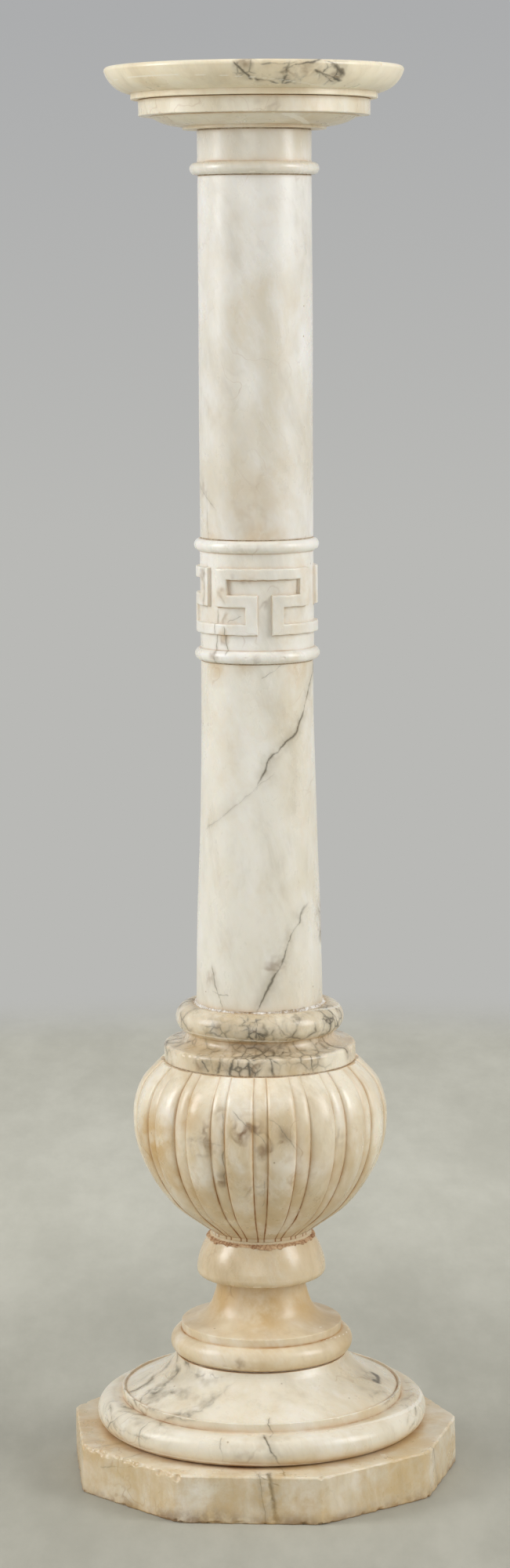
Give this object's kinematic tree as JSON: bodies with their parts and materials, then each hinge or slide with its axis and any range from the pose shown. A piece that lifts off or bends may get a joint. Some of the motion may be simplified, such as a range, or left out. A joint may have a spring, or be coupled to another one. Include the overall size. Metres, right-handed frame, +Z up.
{
  "type": "baptismal font",
  "caption": "Turned alabaster font on a nine-sided plinth, with a gadrooned bulb, a Greek key band and a shallow round basin that turns on a pin.",
  "frame": {"origin": "on the turning axis, at floor level under the plinth", "axes": "+Z up along the turning axis; the front faces -Y; +X is to the right seen from the front"},
  "size_m": [0.3059, 0.3033, 1.1],
  "materials": {
    "alabaster_plinth": "polished alabaster, white with grey flowing veins, ochre stained near the floor, chipped corners",
    "alabaster_foot": "polished alabaster, creamy ochre, few small pits",
    "alabaster_bell": "polished alabaster, creamy ochre, few small pits",
    "alabaster_bulb": "polished alabaster, warm cream with brown dirt in the grooves",
    "alabaster_collar": "polished alabaster, cream with a dense grey network of veins",
    "alabaster_lower_shaft": "polished alabaster, pale beige with dark olive-grey diagonal veins",
    "alabaster_band": "carved and polished alabaster, whiter, with brown hairlines",
    "alabaster_upper_shaft": "polished alabaster, white with soft beige clouds",
    "alabaster_neck": "polished alabaster, warm cream",
    "alabaster_capital": "polished alabaster, cream, ochre in the shade",
    "alabaster_basin": "polished alabaster, creamy with one grey-black veined patch at the front",
    "plaster": "matt off-white plaster, dirty at its edge",
    "cement": "rough brown cement squeezed out of the joint",
    "iron": "dull iron with rust",
    "brass": "dull turned brass",
    "leather": "thin pressed leather"
  },
  "bodies": {
    "pedestal": {"plinth_base": "alabaster_plinth", "spool_foot": "alabaster_foot", "bell_knop": "alabaster_bell", "fluted_bulb": "alabaster_bulb", "collar": "alabaster_collar", "lower_shaft": "alabaster_lower_shaft", "key_band": "alabaster_band", "upper_shaft": "alabaster_upper_shaft", "neck_ring": "alabaster_neck", "capital": "alabaster_capital", "bed_plinth_spool": "plaster", "bed_spool_bell": "plaster", "bed_bulb_collar": "plaster", "shaft_plaster": "plaster", "bed_shaft_band": "plaster", "bed_band_shaft": "plaster", "bed_shaft_neck": "plaster", "bed_neck_capital": "plaster", "bulb_cement": "cement", "tie_rod": "iron", "base_washer": "iron", "base_nut": "iron", "top_washer": "iron", "top_nut": "iron", "slip_washer": "leather"},
    "basin": {"top_basin": "alabaster_basin", "pivot_sleeve": "brass"}
  },
  "joints": [
    {"name": "basin_turn", "type": "hinge", "parent": "pedestal", "child": "basin", "pos_m": [0, 0, 1.0756], "axis": [0, 0, 1], "continuous": true}
  ]
}
